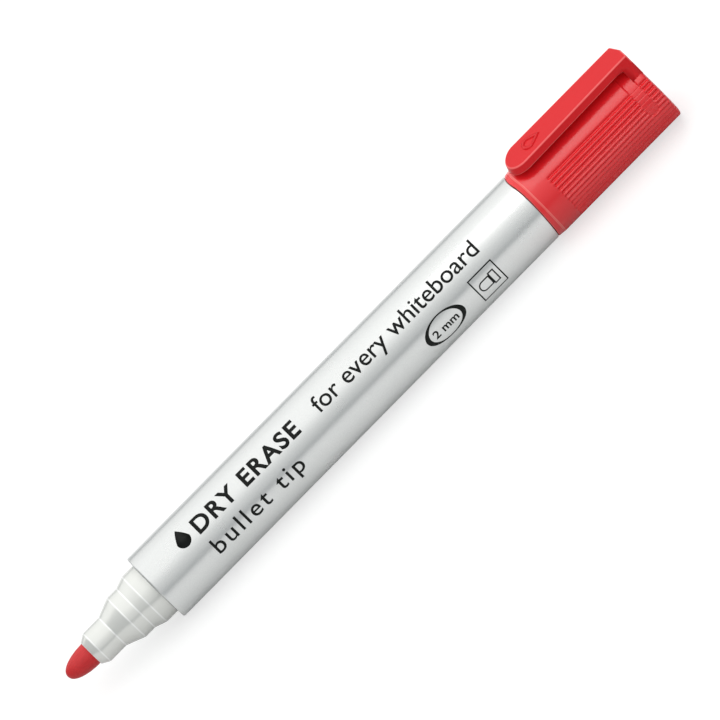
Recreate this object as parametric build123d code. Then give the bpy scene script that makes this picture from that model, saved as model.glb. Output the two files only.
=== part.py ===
from build123d import *
import math
import os

# Whiteboard marker with a bullet nib, lying on its side with its cap posted on the rear end.
# Every piece is drawn about the marker's own axis: x runs from the barrel's front face towards
# the cap, and z points at the pocket clip. place() then sets the whole marker down, with the cap
# on z = 0 and the origin under the middle of its length. Millimetres and degrees throughout.

# ---- barrel ----
BARREL_D = 15.0
BARREL_LEN = 98.7
BARREL_WALL = 1.1
NOSE_WALL = 2.1           # wall round the socket that takes the nib holder's plug
NOSE_LEN = 10.0           # depth of that socket
BARREL_EDGE = 0.3         # rounding of the barrel's two outer edges
CORE_RIB_COUNT = 6        # ribs that centre the ink core and leave air channels
CORE_RIB_HEIGHT = 0.6
CORE_RIB_WIDTH = 0.8

# ---- nib ----
NIB_D = 5.0
NIB_SHOWING = 6.1
NIB_DOME = 6.0            # length of the rounded end
NIB_POINT_LEN = 4.0       # tapered end pushed into the core
NIB_POINT_D = 2.4

# ---- nib holder ----
TIP_WALL = 1.15           # holder wall round the nib
TIP_FACE_WALL = 0.25      # flat left round the nib at the very front
TIP_CHAMFER_LEN = 1.55
TUBE_LEN = 4.15
FRONT_CONE_LEN = 3.63
SEAL_RING_LEN = 2.47
REAR_CONE_LEN = 2.27
SEAT_RING_LEN = 2.93
SEAT_LEDGE = 0.5          # how far the seat ring stands out over the plug
RING_STEP = 0.8           # radius step from the seat ring down to the seal ring
VENT_DEPTH = 0.45         # air grooves beside the nib
VENT_WIDTH = 1.0
VENT_COUNT = 4

# ---- ink core ----
CORE_START_GAP = 0.6      # behind the holder's plug
CORE_END_GAP = 1.5        # in front of the end plug
FILM_WALL = 0.15
NIB_BITE = 6.0            # how far the nib's tail reaches into the core

# ---- end plug ----
PLUG_LEN = 9.0            # length inside the barrel
PLUG_WALL = 1.2
PLUG_INSET = 0.4          # the plug's shoulder sits below the barrel's end
SPIGOT_BASE_LEN = 5.0
SPIGOT_CONE_LEN = 1.2
SPIGOT_LEN = 11.0
SPIGOT_TIP_RADIUS = 0.8

# ---- cap ----
CAP_LEN = 32.3
CAP_OVERHANG = 0.15       # cap radius over barrel radius
CAP_FIT = 0.08            # running gap round the seat ring and the spigot
CAP_END_WALL = 1.3
CAP_EDGE = 0.5
MOUTH_GAP = 0.15          # between the barrel's shoulder and the cap's mouth
ARCH_DEPTH = 0.72         # how far the mouth and the shoulder bow towards the cap
ARCH_PEAK = 0.69          # height over the axis where it bows most, as a share of the cap's radius
ARCH_POINTS = 16
RIM_BAND_LEN = 1.3        # shallow bevel round the mouth
RIM_BAND_DROP = 0.15
LINER_WALL = 0.75
LINER_FIT = 0.08          # running gap round the seal ring and the spigot's nose
LINER_MOUTH_DEPTH = 6.0   # from the cap's mouth
LINER_MOUTH_BEVEL = 0.4
LINER_END_GAP = 1.0       # air between the liner and the cap's end wall
LINER_PINCH = 0.04        # the liner's beads are this much over size in the cap
LINER_BEAD_LEN = 1.2

# ---- grip flutes and the smooth groove round the cap's end ----
FLUTE_COUNT = 38
FLUTE_FREE_ANGLE = 44.0   # smooth sector each side of the clip
FLUTE_START = 5.9         # from the cap's mouth
FLUTE_R = 0.3
FLUTE_DEPTH = 0.24
BAND_FROM_END = 2.35      # the groove's near edge, from the cap's end
BAND_WIDTH = 2.35
BAND_DEPTH = 0.3
BAND_HALF_ANGLE = 83.0

# ---- pocket clip ----
CLIP_HEIGHT = 3.15        # outer face over the cap's surface at the root
CLIP_TIP_DROP = 0.3       # how much nearer the cap the outer face is at the tip
CLIP_THICKNESS = 1.65
CLIP_ROOT_WIDTH = 5.7
CLIP_TIP_WIDTH = 6.5
CLIP_SIDE_DRAFT = 16.8    # slope of the clip's sides
CLIP_TIP_INSET = 1.75     # the tip stops this far behind the mouth
CLIP_WEB = 2.5            # thickness of the root web along the axis
CLIP_CHAMFER = 0.9
CLIP_CHAMFER_DROP = 1.6
CLIP_SPLIT = 0.5          # the arm starts this far from the web
CLIP_SPLIT_GAP = 0.05
CLIP_BEAD_GAP = 0.3       # the gripping bead's clearance over the cap
CLIP_BEAD_BACK = 4.2      # the bead's middle, from the clip's tip
CLIP_BEAD_LEN = 3.4

# ---- sizes that follow ----
barrel_r = BARREL_D / 2
chamber_r = barrel_r - BARREL_WALL
socket_r = barrel_r - NOSE_WALL
seat_ring_r = socket_r + SEAT_LEDGE
seal_ring_r = seat_ring_r - RING_STEP
nib_r = NIB_D / 2
tube_r = nib_r + TIP_WALL
film_r = chamber_r - CORE_RIB_HEIGHT
core_r = film_r - FILM_WALL
cap_r = barrel_r + CAP_OVERHANG
cap_bore_r = seat_ring_r + CAP_FIT
liner_bore_r = seal_ring_r + LINER_FIT
liner_r = liner_bore_r + LINER_WALL
clip_face_z = cap_r + CLIP_HEIGHT

x_seat = -SEAT_RING_LEN
x_seal_back = x_seat - REAR_CONE_LEN
x_seal = x_seal_back - SEAL_RING_LEN
x_tube_back = x_seal - FRONT_CONE_LEN
x_tube = x_tube_back - TUBE_LEN
x_holder = x_tube - TIP_CHAMFER_LEN
x_nib = x_holder - NIB_SHOWING
x_core = NOSE_LEN + CORE_START_GAP
x_nib_tail = x_core + NIB_BITE
x_plug = BARREL_LEN - PLUG_LEN
x_core_end = x_plug - CORE_END_GAP
x_plug_shoulder = BARREL_LEN - PLUG_INSET
x_mouth = BARREL_LEN + MOUTH_GAP
x_cap_end = x_mouth + CAP_LEN
x_spigot_end = x_plug_shoulder + SPIGOT_LEN
x_bore_end = x_cap_end - CAP_END_WALL
x_liner = x_mouth + LINER_MOUTH_DEPTH
x_liner_end = x_bore_end - LINER_END_GAP
x_band_end = x_cap_end - BAND_FROM_END
x_band = x_band_end - BAND_WIDTH
x_clip_tip = x_mouth + CLIP_TIP_INSET
x_web = x_cap_end - CLIP_WEB
x_split = x_web - CLIP_SPLIT

FAR = 4 * cap_r           # reach of a cutting block


def turned(*points):
    """A solid of revolution about the marker's axis, from (x, radius) corners."""
    return revolve(Polygon(*points, align=None), Axis.X)


def tube_between(x0, x1, inner_r, outer_r):
    """A ring or tube about the axis."""
    return turned((x0, inner_r), (x1, inner_r), (x1, outer_r), (x0, outer_r))


def block(x0, x1, y0, y1, z0, z1):
    """A box by its six faces."""
    return Pos(x0, y0, z0) * Box(x1 - x0, y1 - y0, z1 - z0, align=(Align.MIN,) * 3)


def about_axis(solid, angle):
    """A solid turned about the marker's axis; 0 is at the clip."""
    return solid.rotate(Axis.X, angle)


def arch_bow(z):
    """How far the arched joint line bows towards the cap at this height over the axis.

    It is nothing under the clip, rises fast beside it, and fades out towards the underside.
    """
    height = z / cap_r
    return ARCH_DEPTH * (1 - height**2) / (1 + ARCH_PEAK**2 - 2 * ARCH_PEAK * height)


def beyond_arch(x_flat):
    """Everything on the cap's side of the arched joint line, which starts bowing at x_flat."""
    steps = range(ARCH_POINTS + 1)
    heights = [cap_r * math.cos(math.pi * k / ARCH_POINTS) for k in steps]
    line = [(x_flat + arch_bow(z), z) for z in heights]
    far_x = x_flat + CAP_LEN + FAR
    around = Polyline(line[-1], (x_flat, -FAR), (far_x, -FAR), (far_x, FAR), (x_flat, FAR), line[0])
    return extrude(Plane.XZ * make_face(Spline(*line) + around), amount=FAR, both=True)


def make_nib():
    dome = EllipticalCenterArc((x_nib + NIB_DOME, 0), NIB_DOME, nib_r, start_angle=90, arc_size=90)
    body = Polyline(
        (x_nib + NIB_DOME, nib_r),
        (x_nib_tail - NIB_POINT_LEN, nib_r),
        (x_nib_tail, NIB_POINT_D / 2),
        (x_nib_tail, 0),
        (x_nib, 0),
    )
    return revolve(make_face(dome + body), Axis.X)


def make_nib_holder():
    outside = turned(
        (x_holder, 0),
        (x_holder, nib_r + TIP_FACE_WALL),
        (x_tube, tube_r),
        (x_tube_back, tube_r),
        (x_seal, seal_ring_r),
        (x_seal_back, seal_ring_r),
        (x_seat, seat_ring_r),
        (0, seat_ring_r),
        (0, socket_r),
        (NOSE_LEN - 1, socket_r),
        (NOSE_LEN, socket_r - 0.5),
        (NOSE_LEN, 0),
    )
    holder = outside - tube_between(x_holder - 1, NOSE_LEN + 1, 0, nib_r)
    vent = block(x_holder + TIP_CHAMFER_LEN, NOSE_LEN + 1, -VENT_WIDTH / 2, VENT_WIDTH / 2,
                 0, nib_r + VENT_DEPTH)
    vents = [about_axis(vent, (k + 0.5) * 360 / VENT_COUNT) for k in range(VENT_COUNT)]
    return holder - vents


def make_barrel():
    shell = tube_between(0, BARREL_LEN + ARCH_DEPTH, 0, barrel_r)
    front_edge = shell.edges().filter_by(GeomType.CIRCLE).sort_by(Axis.X)[0]
    shell = fillet(front_edge, BARREL_EDGE)
    shell -= beyond_arch(BARREL_LEN)
    shell -= tube_between(-1, NOSE_LEN, 0, socket_r)
    shell -= tube_between(NOSE_LEN, BARREL_LEN + FAR, 0, chamber_r)
    rib = block(NOSE_LEN, x_core_end, -CORE_RIB_WIDTH / 2, CORE_RIB_WIDTH / 2,
                film_r, chamber_r + BARREL_WALL / 2)
    ribs = [about_axis(rib, k * 360 / CORE_RIB_COUNT) for k in range(CORE_RIB_COUNT)]
    return shell + ribs


def make_ink_reservoir():
    core = tube_between(x_core, x_core_end, 0, core_r)
    nib_hole = turned(
        (x_core - 1, 0),
        (x_core - 1, nib_r),
        (x_nib_tail - NIB_POINT_LEN, nib_r),
        (x_nib_tail, NIB_POINT_D / 2),
        (x_nib_tail, 0),
    )
    return core - nib_hole


def make_reservoir_film():
    return tube_between(x_core, x_core_end, core_r, film_r)


def make_end_plug():
    nose_r = seal_ring_r
    base_end = x_plug_shoulder + SPIGOT_BASE_LEN
    plug = turned(
        (x_plug, 0),
        (x_plug, chamber_r),
        (x_plug_shoulder, chamber_r),
        (x_plug_shoulder, seat_ring_r),
        (base_end, seat_ring_r),
        (base_end + SPIGOT_CONE_LEN, nose_r),
        (x_spigot_end, nose_r),
        (x_spigot_end, 0),
    )
    tip_edge = plug.edges().filter_by(GeomType.CIRCLE).sort_by(Axis.X)[-1]
    plug = fillet(tip_edge, SPIGOT_TIP_RADIUS)
    return plug - tube_between(x_plug - 1, x_spigot_end - PLUG_WALL, 0, nose_r - PLUG_WALL)


def make_flutes():
    """Grooves along the cap, rounded at the mouth end and open at the far end.

    They are shallower than the band, so the band reads as smooth where it crosses them.
    """
    pitch = (360 - 2 * FLUTE_FREE_ANGLE) / (FLUTE_COUNT - 1)
    axis_r = cap_r - FLUTE_DEPTH + FLUTE_R
    start = x_mouth + FLUTE_START + FLUTE_R
    run = Rot(0, 90, 0) * Cylinder(FLUTE_R, FAR, align=(Align.CENTER, Align.CENTER, Align.MIN))
    groove = Pos(start, 0, axis_r) * (run + Sphere(FLUTE_R))
    return [about_axis(groove, FLUTE_FREE_ANGLE + k * pitch) for k in range(FLUTE_COUNT)]


def make_band():
    """The smooth groove round the cap's end, with half-round ends."""
    ring = tube_between(x_band, x_band_end, cap_r - BAND_DEPTH, cap_r + 1)
    sector = about_axis(
        revolve(
            Plane.XZ * Polygon((x_band, 0), (x_band_end, 0), (x_band_end, cap_r + 2), (x_band, cap_r + 2),
                               align=None),
            Axis.X,
            2 * BAND_HALF_ANGLE,
        ),
        -BAND_HALF_ANGLE,
    )
    end = Pos((x_band + x_band_end) / 2, 0, 0) * Cylinder(
        BAND_WIDTH / 2, cap_r + 2, align=(Align.CENTER, Align.CENTER, Align.MIN))
    ends = [about_axis(end, side * BAND_HALF_ANGLE) for side in (-1, 1)]
    return ring & (sector + ends)


def clip_section(half_width, top_z, bottom_z):
    """The clip's cross-section: flat outer face, sides that spread at the draft angle."""
    spread = (top_z - bottom_z) * math.tan(math.radians(CLIP_SIDE_DRAFT))
    corners = (
        (-half_width - spread, bottom_z),
        (half_width + spread, bottom_z),
        (half_width, top_z),
        (-half_width, top_z),
    )
    return Polygon(*corners, align=None)


def make_clip_root():
    """The web that carries the clip, and the stub of the arm up to the split."""
    half_width = CLIP_ROOT_WIDTH / 2
    sink_z = cap_bore_r + (cap_r - cap_bore_r) / 2
    web = extrude(Plane.YZ.offset(x_web) * clip_section(half_width, clip_face_z, sink_z), CLIP_WEB)
    stub_bottom = clip_face_z - CLIP_THICKNESS
    stub = extrude(
        Plane.YZ.offset(x_split + CLIP_SPLIT_GAP) * clip_section(half_width, clip_face_z, stub_bottom),
        CLIP_SPLIT)
    corner = Plane.XZ * Polygon(
        (x_cap_end - CLIP_CHAMFER, clip_face_z + 0.01),
        (x_cap_end + 0.01, clip_face_z + 0.01),
        (x_cap_end + 0.01, clip_face_z - CLIP_CHAMFER_DROP),
        align=None)
    return web + stub - extrude(corner, amount=CLIP_ROOT_WIDTH * 2, both=True)


def make_cap_shell():
    outside = turned(
        (x_mouth, 0),
        (x_mouth, cap_r - RIM_BAND_DROP),
        (x_mouth + ARCH_DEPTH + RIM_BAND_LEN, cap_r),
        (x_cap_end, cap_r),
        (x_cap_end, 0),
    )
    end_edge = outside.edges().filter_by(GeomType.CIRCLE).sort_by(Axis.X)[-1]
    shell = fillet(end_edge, CAP_EDGE)
    shell += make_clip_root()
    shell &= beyond_arch(x_mouth)
    shell -= tube_between(x_mouth - 1, x_bore_end, 0, cap_bore_r)
    shell -= make_flutes()
    return shell - make_band()


def make_inner_cap():
    liner = turned(
        (x_liner, liner_bore_r + LINER_MOUTH_BEVEL),
        (x_liner + LINER_MOUTH_BEVEL, liner_bore_r),
        (x_liner_end - LINER_WALL, liner_bore_r),
        (x_liner_end - LINER_WALL, 0),
        (x_liner_end, 0),
        (x_liner_end, liner_r),
        (x_liner, liner_r),
    )
    bead_r = cap_bore_r + LINER_PINCH
    front_bead = tube_between(x_liner, x_liner + LINER_BEAD_LEN, liner_r - 0.1, bead_r)
    rear_bead = tube_between(x_liner_end - LINER_BEAD_LEN, x_liner_end, liner_r - 0.1, bead_r)
    return liner + front_bead + rear_bead


def make_pocket_clip():
    """The clip's arm: it tapers in width and height, is rounded at the tip and has a bead."""
    tip_z = clip_face_z - CLIP_TIP_DROP
    draft = math.tan(math.radians(CLIP_SIDE_DRAFT))
    plan_r = CLIP_TIP_WIDTH / 2
    nose_x = x_clip_tip + plan_r + CLIP_THICKNESS * draft
    root = Plane.YZ.offset(x_split) * clip_section(
        CLIP_ROOT_WIDTH / 2, clip_face_z, clip_face_z - CLIP_THICKNESS)
    tip = Plane.YZ.offset(x_clip_tip) * clip_section(plan_r, tip_z, tip_z - CLIP_THICKNESS)
    arm = loft([root, tip])
    straight = block(nose_x, x_split + 1, -FAR, FAR, 0, FAR)
    nose_top = tip_z + CLIP_THICKNESS
    nose = Pos(nose_x, 0, 0) * Cone(
        plan_r + tip_z * draft,
        plan_r - CLIP_THICKNESS * draft,
        nose_top,
        align=(Align.CENTER, Align.CENTER, Align.MIN))
    arm &= straight + nose
    bead_x = x_clip_tip + CLIP_BEAD_BACK
    bead_z = cap_r + CLIP_BEAD_GAP
    under_z = tip_z - CLIP_THICKNESS
    rise = under_z - bead_z
    bead_profile = make_face(
        ThreePointArc((bead_x - CLIP_BEAD_LEN / 2, under_z + 0.2), (bead_x, bead_z),
                      (bead_x + CLIP_BEAD_LEN / 2, under_z + 0.2))
        + Line((bead_x + CLIP_BEAD_LEN / 2, under_z + 0.2), (bead_x - CLIP_BEAD_LEN / 2, under_z + 0.2)))
    bead = extrude(Plane.XZ * bead_profile, amount=CLIP_TIP_WIDTH / 2 - rise, both=True)
    return arm + bead


def place(solid):
    """Lays the marker on z = 0 with the origin under the middle of its length."""
    return Pos(-(x_nib + x_cap_end) / 2, 0, cap_r) * solid


pieces = {
    "nib": make_nib(),
    "nib_holder": make_nib_holder(),
    "barrel": make_barrel(),
    "ink_reservoir": make_ink_reservoir(),
    "reservoir_film": make_reservoir_film(),
    "end_plug": make_end_plug(),
    "cap_shell": make_cap_shell(),
    "inner_cap": make_inner_cap(),
    "pocket_clip": make_pocket_clip(),
}

os.makedirs("parts", exist_ok=True)
for name, solid in pieces.items():
    export_step(place(solid), f"parts/{name}.step")
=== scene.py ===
import math

import bmesh
import bpy
from mathutils import Matrix, Vector


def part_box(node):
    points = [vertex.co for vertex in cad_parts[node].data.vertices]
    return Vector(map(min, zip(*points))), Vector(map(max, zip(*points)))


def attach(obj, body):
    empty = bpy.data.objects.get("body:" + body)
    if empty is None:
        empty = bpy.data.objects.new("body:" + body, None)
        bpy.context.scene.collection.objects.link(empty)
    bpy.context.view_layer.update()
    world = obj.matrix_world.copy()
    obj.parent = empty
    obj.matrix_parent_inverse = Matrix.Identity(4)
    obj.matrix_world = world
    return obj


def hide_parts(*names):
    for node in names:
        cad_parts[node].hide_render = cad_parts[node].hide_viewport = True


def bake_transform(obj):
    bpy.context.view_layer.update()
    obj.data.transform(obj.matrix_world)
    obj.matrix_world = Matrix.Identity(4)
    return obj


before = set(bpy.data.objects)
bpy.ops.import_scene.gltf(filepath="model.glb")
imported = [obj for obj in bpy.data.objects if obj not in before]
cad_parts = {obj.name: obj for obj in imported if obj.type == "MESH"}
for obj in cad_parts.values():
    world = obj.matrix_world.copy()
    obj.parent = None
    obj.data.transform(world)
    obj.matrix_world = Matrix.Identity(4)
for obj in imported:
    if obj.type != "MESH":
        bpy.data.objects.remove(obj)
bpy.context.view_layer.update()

MM = 0.001

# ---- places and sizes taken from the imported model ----
barrel_lo, barrel_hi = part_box("barrel")
holder_lo, holder_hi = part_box("nib_holder")
nib_lo, nib_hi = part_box("nib")
plug_lo, plug_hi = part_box("end_plug")
cap_lo, cap_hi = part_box("cap_shell")
liner_lo, liner_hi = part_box("inner_cap")
clip_lo, clip_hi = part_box("pocket_clip")

AXIS_Z = (barrel_lo.z + barrel_hi.z) / 2
BARREL_R = (barrel_hi.y - barrel_lo.y) / 2
SEAT_R = (holder_hi.y - holder_lo.y) / 2
NIB_R = (nib_hi.y - nib_lo.y) / 2
CHAMBER_R = (plug_hi.y - plug_lo.y) / 2
CAP_R = (cap_hi.y - cap_lo.y) / 2

# ---- the marker's own details, inside those boxes ----
ARCH_DEPTH = 0.72 * MM
ARCH_PEAK = 0.69
ARCH_REACH = 1.2 * MM
NOSE_LEN = 10.0 * MM
NOSE_WALL = 2.1 * MM
RING_STEP = 0.8 * MM
CAP_FIT = 0.08 * MM
MOUTH_GAP = 0.15 * MM
CAP_END_WALL = 1.3 * MM
PLUG_INSET = 0.4 * MM
TUBE_WALL = 1.15 * MM
LIP_LEN = 1.55 * MM
TUBE_END = 5.70 * MM
CONE_END = 9.33 * MM
SEAT_LEN = 2.93 * MM
SEAT_SLOPE_LEN = 2.27 * MM
SLIP_FIT = 0.02 * MM
NIB_FIT = 0.03 * MM
PLUG_FIT = 0.05 * MM
FACE_GAP = 0.1 * MM

X_FACE = barrel_lo.x
X_SHOULDER = barrel_hi.x - ARCH_DEPTH
X_MOUTH = X_SHOULDER + MOUTH_GAP
X_CAP_END = cap_hi.x
SOCKET_R = BARREL_R - NOSE_WALL
SEAL_R = SEAT_R - RING_STEP
CAP_BORE_R = SEAT_R + CAP_FIT
TUBE_R = NIB_R + TUBE_WALL

SPIN_STEPS = 160
# The rounded corners, marked so that materials can paint a lighter colour on them as a highlight.
CORNER_LAYER = "rounded_corner"
CORNER_SEGMENTS = 5
EDGE_SEGMENTS = 4
FLAT_FACE_WEIGHT = 80
MERGE_DISTANCE = 1e-7
FINE_DISTANCE = 1e-8


def arch_bow(z):
    """How far the arched joint line bows towards the cap, at this height over the axis."""
    height = max(-1.0, min(1.0, z / CAP_R))
    return ARCH_DEPTH * (1 - height**2) / (1 + ARCH_PEAK**2 - 2 * ARCH_PEAK * height)


def smooth_step(low, high, value):
    """Rises smoothly from 0 to 1 between low and high, or falls when high is under low."""
    share = max(0.0, min(1.0, (value - low) / (high - low)))
    return share * share * (3 - 2 * share)


# ---------------------------------------------------------------- mesh helpers


def neighbours(vert):
    """The points one edge away, for a bare profile."""
    return [edge.other_vert(vert) for edge in vert.link_edges]


def faces_at(vert):
    """The faces that meet at a point, for a solid shape."""
    return vert.link_faces


def mark_corner(layer, verts, around_it, corner):
    """Marks the points in the middle of a rounded corner, where a material may paint a lighter colour
    as a highlight.
    """
    corner = set(corner)
    for vert in verts:
        vert[layer] = 1.0 if all(part in corner for part in around_it(vert)) else 0.0


def outline(corners, closed):
    """A profile in the x-radius plane; each corner is (x, radius, rounding), all in metres."""
    bm = bmesh.new()
    layer = bm.verts.layers.float.new(CORNER_LAYER)
    verts = [bm.verts.new((x, 0, r)) for x, r, _ in corners]
    ends = verts[1:] + verts[:1] if closed else verts[1:]
    for a, b in zip(verts, ends):
        bm.edges.new((a, b))
    for vert, (_, _, rounding) in zip(verts, corners):
        if rounding:
            made = bmesh.ops.bevel(
                bm, geom=[vert], offset=rounding, offset_type="OFFSET", segments=CORNER_SEGMENTS,
                profile=0.5, affect="VERTICES", material=-1)
            mark_corner(layer, made["verts"], neighbours, made["verts"])
    return bm


def spin_about_axis(bm, steps=SPIN_STEPS):
    """Turns a profile into a closed round shape about the marker's axis."""
    bmesh.ops.spin(
        bm, geom=bm.verts[:] + bm.edges[:], cent=(0, 0, 0), axis=(1, 0, 0),
        angle=math.tau, steps=steps, use_merge=True)
    bmesh.ops.remove_doubles(bm, verts=bm.verts[:], dist=MERGE_DISTANCE)
    bmesh.ops.recalc_face_normals(bm, faces=bm.faces[:])


def cut(bm, point, normal, dist=MERGE_DISTANCE):
    """Cuts the whole mesh along a plane, and keeps both sides."""
    bmesh.ops.bisect_plane(
        bm, geom=bm.verts[:] + bm.edges[:] + bm.faces[:], plane_co=point, plane_no=normal, dist=dist)


def finished(name, bm, material, body=None, replaces=(), weighted=True):
    """Makes the piece from its mesh on the marker's axis, and lets it ride on its body."""
    bmesh.ops.translate(bm, verts=bm.verts[:], vec=(0, 0, AXIS_Z))
    for face in bm.faces:
        face.smooth = True
    mesh = bpy.data.meshes.new(name)
    bm.to_mesh(mesh)
    bm.free()
    mesh.materials.append(material)
    piece = bpy.data.objects.new(name, mesh)
    bpy.context.scene.collection.objects.link(piece)
    if weighted:
        modifier = piece.modifiers.new("flat faces stay flat", "WEIGHTED_NORMAL")
        modifier.keep_sharp = True
        modifier.weight = FLAT_FACE_WEIGHT
    if body:
        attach(piece, body)
    if replaces:
        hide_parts(*replaces)
    return piece


# ---------------------------------------------------------------- node helpers


# Places of a colour Mix node's sockets, which share their names with those for other kinds.
MIX_FACTOR, MIX_A, MIX_B, MIX_RESULT = 0, 6, 7, 2
HAIR_STRETCH = (60, 2400, 2400)
HAIR_TURN = (0.0, 0.12, 0.3)
HAIR_THRESHOLD = (0.66, 0.74)
HAIR_DEPTH = -2.0
GRAIN_HEIGHT = 0.004 * MM
FLAKE_SCALE = 9000
FIBRE_STRETCH = (500, 6500, 6500)
PORE_SCALE = 5200
PRINT_WEAR_SCALE = 400


def node_group(name, inputs, outputs):
    """A shader node group; inputs are (label, kind, value) and outputs are (label, kind)."""
    group = bpy.data.node_groups.new(name, "ShaderNodeTree")
    for label, kind, value in inputs:
        socket = group.interface.new_socket(label, in_out="INPUT", socket_type=kind)
        if value is not None:
            socket.default_value = value
    for label, kind in outputs:
        group.interface.new_socket(label, in_out="OUTPUT", socket_type=kind)
    return group, group.nodes.new("NodeGroupInput"), group.nodes.new("NodeGroupOutput")


def add(tree, kind, **settings):
    """Adds a node to the tree with its settings."""
    node = tree.nodes.new(kind)
    for key, value in settings.items():
        setattr(node, key, value)
    return node


def math_node(tree, operation, a, b):
    """Works on two values, each a number or another node's output."""
    node = add(tree, "ShaderNodeMath", operation=operation)
    for socket, value in zip(node.inputs, (a, b)):
        if isinstance(value, (int, float)):
            socket.default_value = value
        else:
            tree.links.new(value, socket)
    return node.outputs[0]


def make_moulded_grain():
    """Fine orange-peel grain of moulded plastic, with soft handling smudges and hair scratches."""
    group, inward, outward = node_group(
        "moulded_grain",
        [
            ("Grain Scale", "NodeSocketFloat", 2600.0),
            ("Smudge Scale", "NodeSocketFloat", 90.0),
            ("Base Roughness", "NodeSocketFloat", 0.3),
            ("Smudge Amount", "NodeSocketFloat", 0.06),
            ("Scratch Amount", "NodeSocketFloat", 0.05),
        ],
        [
            ("Height", "NodeSocketFloat"),
            ("Roughness", "NodeSocketFloat"),
            ("Mottle", "NodeSocketFloat"),
        ],
    )
    link = group.links.new
    where = add(group, "ShaderNodeTexCoord").outputs["Object"]
    grain = add(group, "ShaderNodeTexNoise")
    grain.inputs["Detail"].default_value = 3
    link(where, grain.inputs["Vector"])
    link(inward.outputs["Grain Scale"], grain.inputs["Scale"])
    smudge = add(group, "ShaderNodeTexNoise")
    smudge.inputs["Detail"].default_value = 5
    smudge.inputs["Roughness"].default_value = 0.6
    link(where, smudge.inputs["Vector"])
    link(inward.outputs["Smudge Scale"], smudge.inputs["Scale"])
    stretch = add(group, "ShaderNodeMapping")
    stretch.inputs["Scale"].default_value = HAIR_STRETCH
    stretch.inputs["Rotation"].default_value = HAIR_TURN
    link(where, stretch.inputs["Vector"])
    hairs = add(group, "ShaderNodeTexNoise")
    hairs.inputs["Scale"].default_value = 1.0
    hairs.inputs["Detail"].default_value = 2
    link(stretch.outputs[0], hairs.inputs["Vector"])
    thin = add(group, "ShaderNodeMapRange")
    thin.inputs["From Min"].default_value = HAIR_THRESHOLD[0]
    thin.inputs["From Max"].default_value = HAIR_THRESHOLD[1]
    link(hairs.outputs[0], thin.inputs["Value"])
    centred = math_node(group, "SUBTRACT", smudge.outputs[0], 0.5)
    smudged = math_node(group, "MULTIPLY", centred, inward.outputs["Smudge Amount"])
    scratched = math_node(group, "MULTIPLY", thin.outputs[0], inward.outputs["Scratch Amount"])
    handled = math_node(group, "ADD", smudged, scratched)
    rough = math_node(group, "ADD", inward.outputs["Base Roughness"], handled)
    scored = math_node(group, "MULTIPLY", scratched, HAIR_DEPTH)
    link(math_node(group, "ADD", grain.outputs[0], scored), outward.inputs["Height"])
    link(rough, outward.inputs["Roughness"])
    link(smudge.outputs[0], outward.inputs["Mottle"])
    return group


def make_painted_edge_highlight():
    """A mask of the rounded corners, where a lighter colour is painted as a highlight in place of
    light glinting on them.
    """
    group, inward, outward = node_group(
        "painted_edge_highlight", [("Amount", "NodeSocketFloat", 1.0)], [("Edge", "NodeSocketFloat")])
    corner = add(group, "ShaderNodeAttribute", attribute_name=CORNER_LAYER).outputs["Fac"]
    edge = math_node(group, "MULTIPLY", corner, inward.outputs["Amount"])
    group.links.new(edge, outward.inputs["Edge"])
    return group


MOULDED_GRAIN = make_moulded_grain()
PAINTED_EDGE_HIGHLIGHT = make_painted_edge_highlight()


def start_material(name):
    """A new material with its node tree and its Principled shader."""
    material = bpy.data.materials.new(name)
    material.use_nodes = True
    tree = material.node_tree
    return material, tree, tree.nodes["Principled BSDF"]


def two_tone(tree, factor, dark, light):
    """Mixes two colours by a mask."""
    mix = add(tree, "ShaderNodeMix", data_type="RGBA")
    mix.inputs[MIX_A].default_value = (*dark, 1)
    mix.inputs[MIX_B].default_value = (*light, 1)
    tree.links.new(factor, mix.inputs[MIX_FACTOR])
    return mix.outputs[MIX_RESULT]


def bump(tree, shader, height, distance, strength=0.5):
    """Lets a height pattern bend the shader's normals."""
    node = add(tree, "ShaderNodeBump")
    node.inputs["Distance"].default_value = distance
    node.inputs["Strength"].default_value = strength
    tree.links.new(height, node.inputs["Height"])
    tree.links.new(node.outputs[0], shader.inputs["Normal"])


def moulded_plastic(name, dark, light, roughness, scratch=0.05, **sockets):
    """A moulded plastic: two close tones, grain in the bump, smudges in the gloss."""
    material, tree, shader = start_material(name)
    skin = add(tree, "ShaderNodeGroup", node_tree=MOULDED_GRAIN)
    skin.inputs["Base Roughness"].default_value = roughness
    skin.inputs["Scratch Amount"].default_value = scratch
    colour = two_tone(tree, skin.outputs["Mottle"], dark, light)
    tree.links.new(colour, shader.inputs["Base Color"])
    tree.links.new(skin.outputs["Roughness"], shader.inputs["Roughness"])
    bump(tree, shader, skin.outputs["Height"], GRAIN_HEIGHT)
    for label, value in sockets.items():
        shader.inputs[label.replace("_", " ")].default_value = value
    return material


def paint_edge_highlight(material, colour):
    """Paints a highlight on a moulded plastic's rounded corners: a lighter colour in place of light
    glinting on them.
    """
    tree = material.node_tree
    shader = tree.nodes["Principled BSDF"]
    edges = add(tree, "ShaderNodeGroup", node_tree=PAINTED_EDGE_HIGHLIGHT)
    mix = add(tree, "ShaderNodeMix", data_type="RGBA")
    base = shader.inputs["Base Color"].links[0].from_socket
    tree.links.new(edges.outputs["Edge"], mix.inputs[MIX_FACTOR])
    tree.links.new(base, mix.inputs[MIX_A])
    mix.inputs[MIX_B].default_value = (*colour, 1)
    tree.links.new(mix.outputs[MIX_RESULT], shader.inputs["Base Color"])


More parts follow.
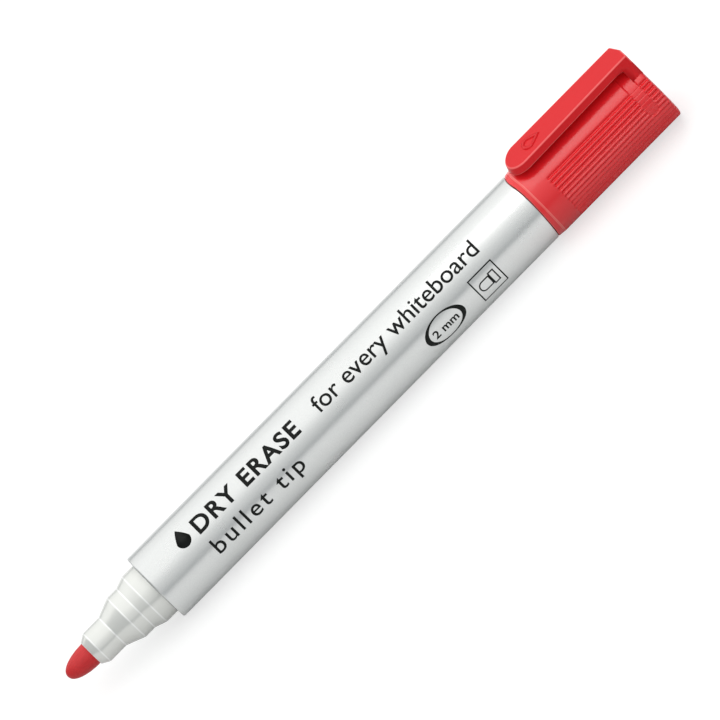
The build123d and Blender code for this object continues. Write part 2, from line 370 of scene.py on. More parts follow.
def silver_plastic():
    """Satin silver plastic: fine metal flakes in the colour and the bump over a clear skin."""
    material, tree, shader = start_material("barrel_silver")
    link = tree.links.new
    where = add(tree, "ShaderNodeTexCoord").outputs["Object"]
    flakes = add(tree, "ShaderNodeTexVoronoi")
    flakes.inputs["Scale"].default_value = FLAKE_SCALE
    link(where, flakes.inputs["Vector"])
    tint = add(tree, "ShaderNodeSeparateColor")
    link(flakes.outputs["Color"], tint.inputs[0])
    colour = two_tone(tree, tint.outputs[0], (0.685, 0.69, 0.69), (0.735, 0.74, 0.735))
    link(colour, shader.inputs["Base Color"])
    skin = add(tree, "ShaderNodeGroup", node_tree=MOULDED_GRAIN)
    skin.inputs["Base Roughness"].default_value = 0.28
    skin.inputs["Smudge Amount"].default_value = 0.05
    skin.inputs["Scratch Amount"].default_value = 0.04
    link(skin.outputs["Roughness"], shader.inputs["Roughness"])
    raised = math_node(tree, "MULTIPLY", tint.outputs[1], 0.5)
    height = math_node(tree, "ADD", skin.outputs["Height"], raised)
    bump(tree, shader, height, 0.002 * MM, 0.22)
    shader.inputs["Metallic"].default_value = 0.8
    return material


def ink_fibre(name, dark, light):
    """Bonded fibre soaked with ink: fine streaks along the marker, matte and a little damp."""
    material, tree, shader = start_material(name)
    link = tree.links.new
    where = add(tree, "ShaderNodeTexCoord").outputs["Object"]
    along = add(tree, "ShaderNodeMapping")
    along.inputs["Scale"].default_value = FIBRE_STRETCH
    link(where, along.inputs["Vector"])
    fibres = add(tree, "ShaderNodeTexNoise")
    fibres.inputs["Scale"].default_value = 1.0
    fibres.inputs["Detail"].default_value = 4
    link(along.outputs[0], fibres.inputs["Vector"])
    pores = add(tree, "ShaderNodeTexVoronoi")
    pores.inputs["Scale"].default_value = PORE_SCALE
    link(where, pores.inputs["Vector"])
    pitted = math_node(tree, "MULTIPLY", pores.outputs["Distance"], 0.6)
    height = math_node(tree, "ADD", fibres.outputs[0], pitted)
    link(two_tone(tree, fibres.outputs[0], dark, light), shader.inputs["Base Color"])
    bump(tree, shader, height, 0.02 * MM, 0.6)
    shader.inputs["Roughness"].default_value = 0.5
    return material


def printing_ink():
    """Thin dark print, slightly worn and uneven."""
    material, tree, shader = start_material("print_black")
    skin = add(tree, "ShaderNodeGroup", node_tree=MOULDED_GRAIN)
    skin.inputs["Smudge Scale"].default_value = PRINT_WEAR_SCALE
    skin.inputs["Base Roughness"].default_value = 0.5
    shader.inputs["IOR"].default_value = 1.25
    colour = two_tone(tree, skin.outputs["Mottle"], (0.003, 0.004, 0.003), (0.010, 0.012, 0.011))
    tree.links.new(colour, shader.inputs["Base Color"])
    tree.links.new(skin.outputs["Roughness"], shader.inputs["Roughness"])
    return material


RED = moulded_plastic(
    "cap_red", (0.84, 0.014, 0.021), (0.90, 0.021, 0.029), 0.25, scratch=0.02, IOR=1.55)
# The clip is moulded in the cap's red; this copy is painted darker as painted shade, so that the
# clip's top, which faces the lamps, comes out no lighter than the cap. Its low IOR keeps the lamps'
# reflection off that top.
CLIP_RED_SHADED = moulded_plastic(
    "clip_red_shaded", (0.70, 0.013, 0.018), (0.76, 0.019, 0.025), 0.30, scratch=0.02, IOR=1.27)
# Painted highlight: a lighter colour on the rounded corners of the reds, in place of light glinting on
# them.
paint_edge_highlight(RED, (0.97, 0.15, 0.14))
paint_edge_highlight(CLIP_RED_SHADED, (0.92, 0.14, 0.14))
IVORY = moulded_plastic(
    "holder_ivory", (0.78, 0.78, 0.75), (0.84, 0.84, 0.81), 0.20, IOR=1.8, Metallic=0.3)
# Painted highlight: a lighter colour on the holder's rounded steps, in place of light glinting on
# them.
paint_edge_highlight(IVORY, (1.0, 1.0, 0.99))
LINER_WHITE = moulded_plastic("liner_white", (0.78, 0.78, 0.76), (0.85, 0.85, 0.83), 0.5)
SILVER = silver_plastic()
NIB_RED = ink_fibre("nib_red", (0.48, 0.008, 0.012), (0.84, 0.026, 0.030))
CORE_RED = ink_fibre("core_red", (0.40, 0.02, 0.03), (0.62, 0.06, 0.07))
FILM_CLEAR = moulded_plastic("film_clear", (0.80, 0.81, 0.83), (0.88, 0.89, 0.90), 0.15)
PRINT = printing_ink()

# ---------------------------------------------------------------- pieces


def make_barrel():
    """The tube, with a thick nose round the holder's plug and an arched rear end."""
    end = X_SHOULDER
    bm = outline(
        [
            (X_FACE, SOCKET_R, 0.1 * MM),
            (X_FACE, BARREL_R, 0.3 * MM),
            (end - ARCH_REACH, BARREL_R, 0),
            (end - 0.5 * MM, BARREL_R, 0),
            (end, BARREL_R, 0.12 * MM),
            (end, CHAMBER_R, 0.1 * MM),
            (end - ARCH_REACH, CHAMBER_R, 0),
            (X_FACE + NOSE_LEN, CHAMBER_R, 0),
            (X_FACE + NOSE_LEN, SOCKET_R, 0),
        ],
        closed=True,
    )
    spin_about_axis(bm)
    for vert in bm.verts:
        share = smooth_step(end - ARCH_REACH, end - 0.3 * MM, vert.co.x)
        vert.co.x += arch_bow(vert.co.z) * share
    return finished("barrel_tube", bm, SILVER, "barrel", ["barrel"])


def make_nib_holder():
    """Cone, tube, seal ring and seat ring, with crisp moulded edges."""
    front = holder_lo.x
    seat = X_FACE - SEAT_LEN
    bore = NIB_R + NIB_FIT
    plug = SOCKET_R - PLUG_FIT
    crisp = 0.18 * MM
    bm = outline(
        [
            (front, bore, 0.03 * MM),
            (front, NIB_R + 0.25 * MM, 0.06 * MM),
            (front + LIP_LEN, TUBE_R, crisp),
            (front + TUBE_END, TUBE_R, crisp),
            (front + CONE_END, SEAL_R, crisp),
            (seat - SEAT_SLOPE_LEN, SEAL_R, crisp),
            (seat, SEAT_R, crisp),
            (X_FACE - FACE_GAP, SEAT_R, 0.06 * MM),
            (X_FACE - FACE_GAP, plug, 0),
            (holder_hi.x, plug, 0.3 * MM),
            (holder_hi.x, bore, 0),
        ],
        closed=True,
    )
    spin_about_axis(bm)
    return finished("nib_holder_front", bm, IVORY, "barrel", ["nib_holder"])


def make_nib():
    """A bullet of bonded fibre, a little blunter at the point than an ellipse."""
    dome_len = 6.0 * MM
    bluntness = 0.44
    steps = 24
    dome = []
    for k in range(steps + 1):
        back = (k / steps) ** 2
        dome.append((nib_lo.x + dome_len * back, NIB_R * (1 - (1 - back) ** 2) ** bluntness, 0))
    tail = [
        (nib_hi.x - 4 * MM, NIB_R, 0.3 * MM),
        (nib_hi.x, 1.2 * MM, 0.3 * MM),
        (nib_hi.x, 0, 0),
    ]
    bm = outline(dome + tail, closed=False)
    spin_about_axis(bm, steps=96)
    return finished("nib_bullet", bm, NIB_RED, "barrel", ["nib"])


def make_end_plug():
    """The hollow rear plug: a part in the barrel, and the stepped spigot the cap is posted on."""
    shoulder = X_SHOULDER - PLUG_INSET
    wall = 1.2 * MM
    stop = CHAMBER_R - SLIP_FIT
    bm = outline(
        [
            (plug_hi.x - wall, 0, 0),
            (plug_hi.x - wall, SEAL_R - wall, 0.3 * MM),
            (plug_lo.x, SEAL_R - wall, 0.2 * MM),
            (plug_lo.x, stop, 0.2 * MM),
            (shoulder, stop, 0.15 * MM),
            (shoulder, SEAT_R, 0.1 * MM),
            (shoulder + 5.0 * MM, SEAT_R, 0.25 * MM),
            (shoulder + 6.2 * MM, SEAL_R, 0.3 * MM),
            (plug_hi.x, SEAL_R, 0.8 * MM),
            (plug_hi.x, 0, 0),
        ],
        closed=False,
    )
    spin_about_axis(bm)
    return finished("end_plug_spigot", bm, RED, "barrel", ["end_plug"])


def make_inner_cap():
    """The liner's cup, held in the cap by a bead at each end."""
    bore = SEAL_R + CAP_FIT
    wall = 0.75 * MM
    bead = CAP_BORE_R - SLIP_FIT
    bead_len = 1.2 * MM
    bm = outline(
        [
            (liner_hi.x - wall, 0, 0),
            (liner_hi.x - wall, bore, 0.4 * MM),
            (liner_lo.x + 0.4 * MM, bore, 0.2 * MM),
            (liner_lo.x, bore + 0.4 * MM, 0.08 * MM),
            (liner_lo.x, bead, 0.1 * MM),
            (liner_lo.x + bead_len, bead, 0.1 * MM),
            (liner_lo.x + bead_len, bore + wall, 0.05 * MM),
            (liner_hi.x - bead_len, bore + wall, 0.05 * MM),
            (liner_hi.x - bead_len, bead, 0.1 * MM),
            (liner_hi.x, bead, 0.2 * MM),
            (liner_hi.x, 0, 0),
        ],
        closed=False,
    )
    spin_about_axis(bm)
    return finished("inner_cap_liner", bm, LINER_WHITE, "cap", ["inner_cap"])


# ---- the cap: flutes, the smooth band and the arched mouth are pressed into a spun shell ----
FLUTE_COUNT = 38
FLUTE_FREE_ANGLE = math.radians(44.0)
FLUTE_PITCH = (math.tau - 2 * FLUTE_FREE_ANGLE) / (FLUTE_COUNT - 1)
FLUTE_DEPTH = 0.37 * MM
FLUTE_SHARPNESS = 1.1
FLUTE_START = X_MOUTH + 5.9 * MM
BAND_END = X_CAP_END - 2.35 * MM
BAND_WIDTH = 2.35 * MM
BAND_DEPTH = 0.30 * MM
BAND_HALF_ANGLE = math.radians(83.0)
BAND_EDGE = 0.09 * MM
CAP_STEPS = 980  # about twenty to each flute
GRID = 0.12 * MM
GRID_MARGIN = 0.25 * MM
RIM_LEN = 1.5 * MM
END_ROUND = 0.55 * MM
END_DROP = 1.3 * MM
END_STEPS = 6


def flute_depth(x, turn):
    """Depth of the grip grooves; turn is the angle from the clip, from 0 to a full turn."""
    phase = (turn - FLUTE_FREE_ANGLE) / FLUTE_PITCH
    nearest = max(0, min(FLUTE_COUNT - 1, round(phase)))
    half = FLUTE_PITCH * CAP_R / 2
    across = (phase - nearest) * 2
    before = max(0.0, FLUTE_START + half * 0.6 - x) / half
    away = min(1.0, math.hypot(across, before))
    return FLUTE_DEPTH * (0.5 + 0.5 * math.cos(math.pi * away)) ** FLUTE_SHARPNESS


def band_depth(x, turn):
    """Depth of the smooth round-ended groove that runs round the cap's end behind the clip."""
    from_clip = min(turn, math.tau - turn)
    past_end = max(0.0, from_clip - BAND_HALF_ANGLE) * CAP_R
    middle = BAND_END - BAND_WIDTH / 2
    edge = math.hypot(x - middle, past_end) - BAND_WIDTH / 2
    return BAND_DEPTH * smooth_step(BAND_EDGE, -BAND_EDGE, edge)


def make_cap_shell():
    """The cap's shell, with close rows of points only where the flutes end and the band runs."""
    wall_x = X_CAP_END - CAP_END_WALL
    band_start = BAND_END - BAND_WIDTH
    rings = []

    def rows(start, end, step):
        count = max(1, round((end - start) / step))
        rings.extend(start + (end - start) * k / count for k in range(count))

    rows(X_MOUTH + 2.3 * MM, FLUTE_START - 0.2 * MM, 0.8 * MM)
    rows(FLUTE_START - 0.2 * MM, FLUTE_START + 0.8 * MM, GRID)
    rows(FLUTE_START + 0.8 * MM, band_start - GRID_MARGIN, 2.0 * MM)
    rows(band_start - GRID_MARGIN, BAND_END + GRID_MARGIN, GRID)
    rows(BAND_END + GRID_MARGIN, X_CAP_END - END_ROUND, 0.5 * MM)
    corners = [
        (wall_x, 0, 0),
        (wall_x, CAP_BORE_R, 0.4 * MM),
        (X_MOUTH + 4 * MM, CAP_BORE_R, 0),
        (X_MOUTH + RIM_LEN, CAP_BORE_R, 0),
        (X_MOUTH, CAP_BORE_R, 0.15 * MM),
        (X_MOUTH, CAP_R - 0.17 * MM, 0.12 * MM),
        (X_MOUTH + 1.35 * MM, CAP_R - 0.05 * MM, 0.1 * MM),
        (X_MOUTH + 1.6 * MM, CAP_R, 0.15 * MM),
    ]
    corners += [(x, CAP_R, 0) for x in rings]
    for k in range(END_STEPS + 1):
        angle = math.pi / 2 * k / END_STEPS
        drop = END_DROP * (1 - math.cos(angle))
        corners.append((X_CAP_END - END_ROUND * (1 - math.sin(angle)), CAP_R - drop, 0))
    corners.append((X_CAP_END, 0, 0))
    bm = outline(corners, closed=False)
    spin_about_axis(bm, CAP_STEPS)
    for vert in bm.verts:
        x, y, z = vert.co
        radius = math.hypot(y, z)
        if radius > CAP_R - 0.6 * MM and x > FLUTE_START - 0.5 * MM:
            turn = math.atan2(y, z) % math.tau
            limit = CAP_R - max(flute_depth(x, turn), band_depth(x, turn))
            if radius > limit:
                vert.co.y *= limit / radius
                vert.co.z *= limit / radius
        pull = 1 - 0.7 * smooth_step(X_MOUTH + 0.5 * MM, X_MOUTH + RIM_LEN, x)
        pull *= 1 - smooth_step(X_MOUTH + RIM_LEN, X_MOUTH + 4.0 * MM, x)
        vert.co.x += arch_bow(z) * pull
    return finished("cap_body", bm, RED, "cap", ["cap_shell"], weighted=False)


# ---- the pocket clip with the web it grows from ----
CLIP_TIP_DROP = 0.3 * MM
CLIP_NOSE_DROOP = 0.35 * MM
CLIP_THICKNESS = 1.65 * MM
CLIP_ROOT_WIDTH = 5.7 * MM
CLIP_TIP_WIDTH = 6.5 * MM
CLIP_DRAFT = math.tan(math.radians(16.8))
CLIP_WEB = 2.5 * MM
CLIP_CORNER = (1.05 * MM, 2.9 * MM)
CLIP_FACE_Z = cap_hi.z - AXIS_Z
CLIP_TIP_X = clip_lo.x
CLIP_BEAD_BACK = 4.2 * MM
CLIP_BEAD_LEN = 3.4 * MM
CLIP_BEAD_GAP = 0.3 * MM
BEND_STEP = 2 * MM
BEND_CUTS = 11
WEB_X = X_CAP_END - CLIP_WEB
WEB_FOOT_Z = CAP_R - 1.5 * MM
TIP_STEPS = 28
CREASE_ANGLE = math.radians(32)
EMBLEM_X = CLIP_TIP_X + 4.9 * MM
EMBLEM_HEIGHT = 0.15 * MM
JUST_OVER = 1e-6


def clip_droop(x):
    """How far the arm's outer face has dropped towards the cap, at this place along it."""
    share = max(0.0, (WEB_X - x) / (WEB_X - CLIP_TIP_X))
    near_tip = max(0.0, (CLIP_TIP_X + 4 * MM - x) / (4 * MM))
    return CLIP_TIP_DROP * share + CLIP_NOSE_DROOP * near_tip**2


def press_down(bm, faces, drop, nose_x):
    """Pushes faces towards the cap while their sides spread at the moulding draft."""
    made = bmesh.ops.extrude_face_region(bm, geom=faces)
    for vert in [g for g in made["geom"] if isinstance(g, bmesh.types.BMVert)]:
        if vert.co.x < nose_x:
            outward = Vector((vert.co.x - nose_x, vert.co.y, 0)).normalized()
        else:
            outward = Vector((0, math.copysign(1, vert.co.y), 0))
        vert.co += outward * drop * CLIP_DRAFT
        vert.co.z -= drop


def make_pocket_clip():
    """A plan outline pressed down with drafted sides, a web at the root and a drooping round tip."""
    tip_r = CLIP_TIP_WIDTH / 2
    nose_x = CLIP_TIP_X + CLIP_THICKNESS * CLIP_DRAFT + tip_r
    half_root = CLIP_ROOT_WIDTH / 2
    back, side = CLIP_CORNER
    bm = bmesh.new()
    layer = bm.verts.layers.float.new(CORNER_LAYER)
    plan = [
        (X_CAP_END, -half_root), (X_CAP_END, half_root - side), (X_CAP_END - back, half_root)]
    for k in range(TIP_STEPS + 1):
        angle = math.pi * k / TIP_STEPS
        plan.append((nose_x - tip_r * math.sin(angle), tip_r * math.cos(angle)))
    face = bm.faces.new([bm.verts.new((x, y, CLIP_FACE_Z)) for x, y in plan])
    press_down(bm, [face], CLIP_THICKNESS, nose_x)
    for x in [WEB_X] + [WEB_X - BEND_STEP * k for k in range(1, BEND_CUTS + 1)] + [nose_x]:
        cut(bm, (x, 0, 0), (1, 0, 0))
    low = CLIP_FACE_Z - CLIP_THICKNESS
    under = [
        f for f in bm.faces
        if all(v.co.z < low + JUST_OVER for v in f.verts) and f.calc_center_median().x > WEB_X
    ]
    press_down(bm, under, low - WEB_FOOT_Z, nose_x)
    bmesh.ops.delete(bm, geom=under, context="FACES_ONLY")
    bmesh.ops.recalc_face_normals(bm, faces=bm.faces[:])
    creases = [
        e for e in bm.edges
        if e.is_manifold and e.calc_face_angle() > CREASE_ANGLE
        and min(v.co.z for v in e.verts) > WEB_FOOT_Z + JUST_OVER
        and max(v.co.x for v in e.verts) < X_CAP_END + JUST_OVER
    ]
    made = bmesh.ops.bevel(
        bm, geom=creases, offset=0.28 * MM, offset_type="OFFSET", segments=EDGE_SEGMENTS,
        profile=0.5, affect="EDGES", clamp_overlap=True, material=-1)
    mark_corner(layer, made["verts"], faces_at, made["faces"])
    for edge in bm.edges:
        edge.smooth = max(v.co.z for v in edge.verts) > WEB_FOOT_Z + JUST_OVER
    for vert in bm.verts:
        vert.co.z -= clip_droop(vert.co.x)
    piece = finished("clip_arm", bm, CLIP_RED_SHADED, replaces=["pocket_clip"])
    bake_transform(piece)


def make_clip_bead():
    """The rounded bar under the clip's tip that grips a pocket's edge."""
    middle = CLIP_TIP_X + CLIP_BEAD_BACK
    under = CLIP_FACE_Z - CLIP_THICKNESS - clip_droop(middle)
    height = under - (CAP_R + CLIP_BEAD_GAP)
    bm = bmesh.new()
    bmesh.ops.create_cone(
        bm, cap_ends=True, segments=48, radius1=1.0, radius2=1.0, depth=1.0,
        matrix=Matrix.Rotation(math.pi / 2, 4, "X"))
    rims = [e for e in bm.edges if e.is_manifold and e.calc_face_angle() > 1]
    size = (CLIP_BEAD_LEN / 2, CLIP_TIP_WIDTH - 2 * height, height)
    bmesh.ops.scale(bm, verts=bm.verts[:], vec=size)
    bmesh.ops.bevel(
        bm, geom=rims, offset=0.3 * MM, offset_type="OFFSET", segments=EDGE_SEGMENTS,
        profile=0.5, affect="EDGES", clamp_overlap=True, material=-1)
    bmesh.ops.translate(bm, verts=bm.verts[:], vec=(middle, 0, under))
    finished("clip_bead", bm, CLIP_RED_SHADED, "clip")


def make_clip_emblem():
    """A raised outline of an ink drop near the clip's tip."""
    bm = bmesh.new()
    drop_outline(bm, 3.2 * MM, 4.3 * MM)
    outer = bm.verts[:]
    drop_outline(bm, 2.0 * MM, 2.6 * MM)
    bmesh.ops.translate(bm, verts=bm.verts[len(outer):], vec=(0, 0.6 * MM, 0))
    bmesh.ops.bridge_loops(bm, edges=bm.edges[:])
    low = bm.faces[:]
    place = Matrix.Translation((EMBLEM_X, 0, CLIP_FACE_Z)) @ Matrix.Rotation(-math.pi / 2, 4, "Z")
    bmesh.ops.transform(bm, matrix=place, verts=bm.verts[:])
    made = bmesh.ops.extrude_face_region(bm, geom=low)
    raised = {g for g in made["geom"] if isinstance(g, bmesh.types.BMVert)}
    bmesh.ops.translate(bm, verts=list(raised), vec=(0, 0, EMBLEM_HEIGHT))
    for vert in bm.verts:
        sunk = 0 if vert in raised else EMBLEM_HEIGHT
        vert.co.z -= clip_droop(vert.co.x) + sunk
    bmesh.ops.recalc_face_normals(bm, faces=bm.faces[:])
    finished("clip_emblem", bm, CLIP_RED_SHADED, "clip")


# ---------------------------------------------------------------- printing on the barrel
LINE_STEP = 0.25 * MM
INK_HEIGHT = 0.012 * MM
INK_SINK = 0.03 * MM
DROP_STEPS = 48
DROP_POINT = 0.75
DROP_WIDTH = 0.74
OVAL_STEPS = 96
LINE_STROKE = 0.26 * MM
LETTER_CURVE_STEPS = 6


def wrapped(bm, name):
    """Wraps flat artwork round the barrel as a thin layer of ink.

    The artwork's x runs along the marker, and its y is the distance round the barrel, down from
    the line under the clip.
    """
    lows = [v.co.y for v in bm.verts]
    level = min(lows) + LINE_STEP
    while level < max(lows):
        cut(bm, (0, level, 0), (0, 1, 0), dist=FINE_DISTANCE)
        level += LINE_STEP
    bmesh.ops.triangulate(bm, faces=bm.faces[:])
    made = bmesh.ops.extrude_face_region(bm, geom=bm.faces[:])
    top = {g for g in made["geom"] if isinstance(g, bmesh.types.BMVert)}
    for vert in bm.verts:
        turn = vert.co.y / BARREL_R
        radius = BARREL_R + (INK_HEIGHT if vert in top else -INK_SINK)
        vert.co = Vector((vert.co.x, math.sin(turn) * radius, math.cos(turn) * radius))
    bmesh.ops.recalc_face_normals(bm, faces=bm.faces[:])
    return finished(name, bm, PRINT, "barrel", weighted=False)


def lettering(words, start, width, turn, height, heaviness, spacing):
    """Words as flat artwork.

    Start and width are measured along the marker from the barrel's face, in millimetres, height is
    the first letter's, and turn is the angle of the words' foot down from the clip, in degrees.
    """
    curve = bpy.data.curves.new(words, "FONT")
    curve.body = words
    curve.size = 1.0
    curve.offset = heaviness
    curve.space_character = spacing
    curve.resolution_u = LETTER_CURVE_STEPS
    holder = bpy.data.objects.new(words, curve)
    bpy.context.scene.collection.objects.link(holder)
    bpy.context.view_layer.update()
    mesh = bpy.data.meshes.new_from_object(holder.evaluated_get(bpy.context.evaluated_depsgraph_get()))
    bpy.data.objects.remove(holder)
    bpy.data.curves.remove(curve)
    bm = bmesh.new()
    bm.from_mesh(mesh)
    bpy.data.meshes.remove(mesh)
    xs = [v.co.x for v in bm.verts]
    left = min(xs)
    scale_x = width * MM / (max(xs) - left)
    scale_y = height * MM / max(v.co.y for v in bm.verts)
    for vert in bm.verts:
        x, y, _ = vert.co
        vert.co = Vector((X_FACE + start * MM + (x - left) * scale_x, y * scale_y - around(turn), 0))
    return bm


def around(degrees):
    """Distance round the barrel for an angle down from the clip, on the side with the print."""
    return math.radians(degrees) * BARREL_R


def drop_outline(bm, width, height):
    """Adds a closed ink-drop outline standing on y = 0, pointed at the top."""
    made = bmesh.ops.create_circle(bm, cap_ends=False, segments=DROP_STEPS, radius=1.0)
    for vert in made["verts"]:
        x, y = vert.co.x, vert.co.y
        rise = max(0.0, y)
        vert.co.x = x * (1 - rise) ** 0.45 * width / 2 if rise < 1 else 0.0
        vert.co.y = (y + 1 + rise**1.6 * DROP_POINT) / (2 + DROP_POINT) * height


def placed(bm, start, turn):
    """Moves flat artwork to its place: millimetres from the barrel's face, degrees from the clip."""
    bmesh.ops.translate(bm, verts=bm.verts[:], vec=(X_FACE + start * MM, -around(turn), 0))
    return bm


def ink_drop(size):
    """A filled ink drop."""
    bm = bmesh.new()
    drop_outline(bm, size * DROP_WIDTH, size)
    bmesh.ops.contextual_create(bm, geom=bm.edges[:])
    return bm


def oval_ring(half_length, half_height, end_stroke, side_stroke):
    """An oval ring, heavier at its two ends."""
    bm = bmesh.new()
    inner = (half_length - end_stroke, half_height - side_stroke)
    for x, y in ((half_length, half_height), inner):
        made = bmesh.ops.create_circle(bm, cap_ends=False, segments=OVAL_STEPS, radius=1.0)
        bmesh.ops.scale(bm, verts=made["verts"], vec=(x, y, 1))
    bmesh.ops.bridge_loops(bm, edges=bm.edges[:])
    return bm


def keep_rims(bm, stroke):
    """Leaves only a line of this width inside each face's border."""
    middles = bm.faces[:]
    bmesh.ops.inset_individual(bm, faces=middles, thickness=stroke, use_even_offset=True)
    bmesh.ops.delete(bm, geom=middles, context="FACES_ONLY")


def square_frame(size, stroke):
    """The border of a square."""
    bm = bmesh.new()
    bmesh.ops.create_grid(bm, x_segments=1, y_segments=1, size=size / 2)
    keep_rims(bm, stroke)
    return bm


def nib_sign(length, height, stroke):
    """A nib drawn in line: round in front, with a wider straight holder behind it."""
    bm = bmesh.new()
    bmesh.ops.create_grid(bm, x_segments=1, y_segments=1, size=0.5)
    bmesh.ops.scale(bm, verts=bm.verts[:], vec=(length, height, 1))
    front = [v for v in bm.verts if v.co.x < 0]
    bmesh.ops.bevel(
        bm, geom=front, offset=height * 0.49, offset_type="OFFSET", segments=12, profile=0.5,
        affect="VERTICES", material=-1)
    made = bmesh.ops.create_grid(bm, x_segments=1, y_segments=1, size=0.5)
    behind = Matrix.Translation((length * 0.75, 0, 0))
    wider = Matrix.Diagonal((length / 2, height * 1.3, 1, 1))
    bmesh.ops.transform(bm, matrix=behind @ wider, verts=made["verts"])
    keep_rims(bm, stroke)
    return bm


def make_print():
    """The words and signs on the barrel, from the nib's end to the cap's."""
    wrapped(
        lettering(
            "DRY ERASE", start=13, width=26.7, turn=46.6, height=3.4, heaviness=0.027, spacing=1.14),
        "print_bold_line")
    wrapped(
        lettering(
            "bullet tip", start=13, width=22.8, turn=88.9, height=3.4, heaviness=0.006, spacing=1.2),
        "print_second_line")
    wrapped(
        lettering(
            "for every whiteboard", start=44.4, width=42.1, turn=47.5, height=3.45, heaviness=0.006,
            spacing=1.0),
        "print_long_line")
    wrapped(placed(ink_drop(4.2 * MM), start=10.0, turn=47), "print_ink_drop")
    oval = oval_ring(4.85 * MM, 2.9 * MM, end_stroke=1.0 * MM, side_stroke=LINE_STROKE)
    wrapped(placed(oval, start=72.3, turn=88.9), "print_oval")
    wrapped(
        lettering("2 mm", start=69.3, width=6.0, turn=95.3, height=1.75, heaviness=0.02, spacing=1.0),
        "print_oval_words")
    wrapped(placed(square_frame(6.1 * MM, LINE_STROKE), start=83.7, turn=88.4), "print_square")
    sign = nib_sign(2.9 * MM, 2.3 * MM, 0.27 * MM)
    wrapped(placed(sign, start=82.9, turn=88.4), "print_square_nib")


# ---------------------------------------------------------------- camera, light and floor


VIEW_ELEVATION = math.radians(35.0)
CAMERA_ROLL = math.radians(45.41)
CAMERA_DISTANCE = 3.0
SENSOR_WIDTH = 36.0
SEEN_WIDTH = 133.3 * MM
AIM_ALONG = 2.60 * MM
AIM_ACROSS = 2.655 * MM


def make_camera():
    """Square on to the marker, from above on its -Y side, with the marker rising to the right."""
    along = Vector((1, 0, 0))
    back = Vector((0, -math.cos(VIEW_ELEVATION), math.sin(VIEW_ELEVATION)))
    across = back.cross(along)
    right = along * math.cos(CAMERA_ROLL) - across * math.sin(CAMERA_ROLL)
    up = along * math.sin(CAMERA_ROLL) + across * math.cos(CAMERA_ROLL)
    aim = Vector((AIM_ALONG, 0, AXIS_Z)) + across * AIM_ACROSS
    eye = aim + back * CAMERA_DISTANCE
    data = bpy.data.cameras.new("camera")
    data.sensor_width = SENSOR_WIDTH
    data.lens = SENSOR_WIDTH * CAMERA_DISTANCE / SEEN_WIDTH
    data.clip_end = 50
    camera = bpy.data.objects.new("camera", data)
    camera.matrix_world = Matrix((
        (right.x, up.x, back.x, eye.x),
        (right.y, up.y, back.y, eye.y),
        (right.z, up.z, back.z, eye.z),
        (0, 0, 0, 1),
    ))
    bpy.context.scene.collection.objects.link(camera)
    bpy.context.scene.camera = camera


# One long softbox for each step of elevation, from the front over the top to the back; each is
# (elevation in degrees, brightness in watts per square metre and steradian).
TENT = (
    (19, 0.36), (33, 0.50), (47, 0.74), (61, 0.98), (75, 0.98), (89, 1.00), (103, 0.98), (117, 1.00),
    (131, 0.90), (145, 0.82), (159, 0.74))
TENT_STEP = math.radians(14)
TENT_RADIUS = 1.6
TENT_LENGTH = 2.6
LAMP_TINT = (1.0, 0.992, 0.968)
CAP_LAMP_HEIGHT = 0.16
CAP_LAMP_SIZE = (0.045, 0.10)
CAP_LAMP_FRONT = 0.014
CAP_LAMP_BRIGHTNESS = 1.9
FLOOR_SIZE = 12
FLOOR_GLOW = 0.66
FLOOR_TONES = ((0.40, 0.40, 0.40), (0.44, 0.44, 0.44))
FLOOR_MIRRORED = (0.97, 0.97, 0.97, 1)
SKY_COLOUR = (0.92, 0.98, 1.0, 1)
SKY_BRIGHTNESS = 0.37


def softbox(name, place, tilt, length, width, brightness):
    """A rectangular lamp; its tilt is a turn about the marker's axis, 0 when it shines down."""
    data = bpy.data.lights.new(name, "AREA")
    data.shape = "RECTANGLE"
    data.size = length
    data.size_y = width
    data.energy = brightness * math.pi * length * width
    data.color = LAMP_TINT
    lamp = bpy.data.objects.new(name, data)
    lamp.location = place
    lamp.rotation_euler = (tilt, 0, 0)
    lamp.visible_camera = False
    bpy.context.scene.collection.objects.link(lamp)


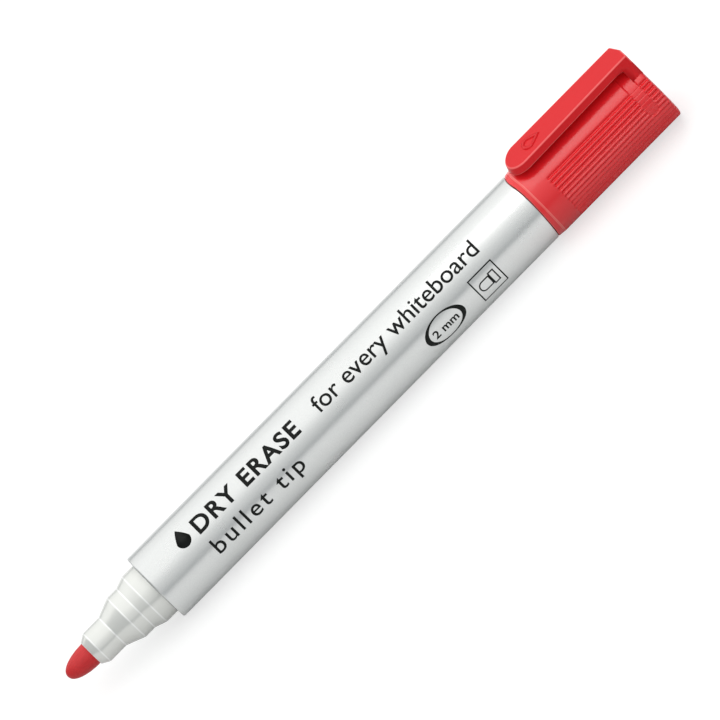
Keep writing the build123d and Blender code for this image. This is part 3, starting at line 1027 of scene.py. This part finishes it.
def floor_paper():
    """White paper that glows a little where the camera sees it, so that shadows on it stay soft."""
    material, tree, shader = start_material("floor_paper")
    link = tree.links.new
    skin = add(tree, "ShaderNodeGroup", node_tree=MOULDED_GRAIN)
    skin.inputs["Smudge Scale"].default_value = 3
    skin.inputs["Base Roughness"].default_value = 0.8
    rays = add(tree, "ShaderNodeLightPath")
    mirrored = add(tree, "ShaderNodeMix", data_type="RGBA")
    mirrored.inputs[MIX_B].default_value = FLOOR_MIRRORED
    link(rays.outputs["Is Glossy Ray"], mirrored.inputs[MIX_FACTOR])
    link(two_tone(tree, skin.outputs["Mottle"], *FLOOR_TONES), mirrored.inputs[MIX_A])
    link(mirrored.outputs[MIX_RESULT], shader.inputs["Base Color"])
    link(skin.outputs["Roughness"], shader.inputs["Roughness"])
    shader.inputs["Specular IOR Level"].default_value = 0.1
    shader.inputs["Emission Color"].default_value = (1, 1, 1, 1)
    glow = math_node(tree, "MULTIPLY", rays.outputs["Is Camera Ray"], FLOOR_GLOW)
    link(glow, shader.inputs["Emission Strength"])
    return material


def make_studio():
    """A tent of long softboxes over the marker, a small one over the cap, the sky and the floor."""
    width = 2 * TENT_RADIUS * math.tan(TENT_STEP / 2)
    for degrees, brightness in TENT:
        up = math.radians(degrees)
        place = Vector((0, -math.cos(up), math.sin(up))) * TENT_RADIUS
        softbox(f"softbox_{degrees}", place, math.pi / 2 - up, TENT_LENGTH, width, brightness)
    over_cap = ((cap_lo.x + cap_hi.x) / 2, -CAP_LAMP_FRONT, CAP_LAMP_HEIGHT)
    softbox("softbox_cap", over_cap, 0, *CAP_LAMP_SIZE, CAP_LAMP_BRIGHTNESS)
    world = bpy.data.worlds.new("studio")
    world.use_nodes = True
    back = world.node_tree.nodes["Background"]
    back.inputs["Color"].default_value = SKY_COLOUR
    back.inputs["Strength"].default_value = SKY_BRIGHTNESS
    bpy.context.scene.world = world
    bm = bmesh.new()
    bmesh.ops.create_grid(bm, x_segments=1, y_segments=1, size=FLOOR_SIZE)
    mesh = bpy.data.meshes.new("floor")
    bm.to_mesh(mesh)
    bm.free()
    mesh.materials.append(floor_paper())
    floor = bpy.data.objects.new("floor", mesh)
    bpy.context.scene.collection.objects.link(floor)
    bpy.context.scene.view_settings.view_transform = "Standard"


def repaint(node, material):
    """Gives a node that keeps its own shape another material."""
    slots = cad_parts[node].data.materials
    slots.clear()
    slots.append(material)


make_camera()
make_studio()
make_barrel()
make_nib_holder()
make_nib()
make_end_plug()
make_inner_cap()
make_cap_shell()
make_pocket_clip()
make_clip_bead()
make_clip_emblem()
make_print()
repaint("ink_reservoir", CORE_RED)
repaint("reservoir_film", FILM_CLEAR)
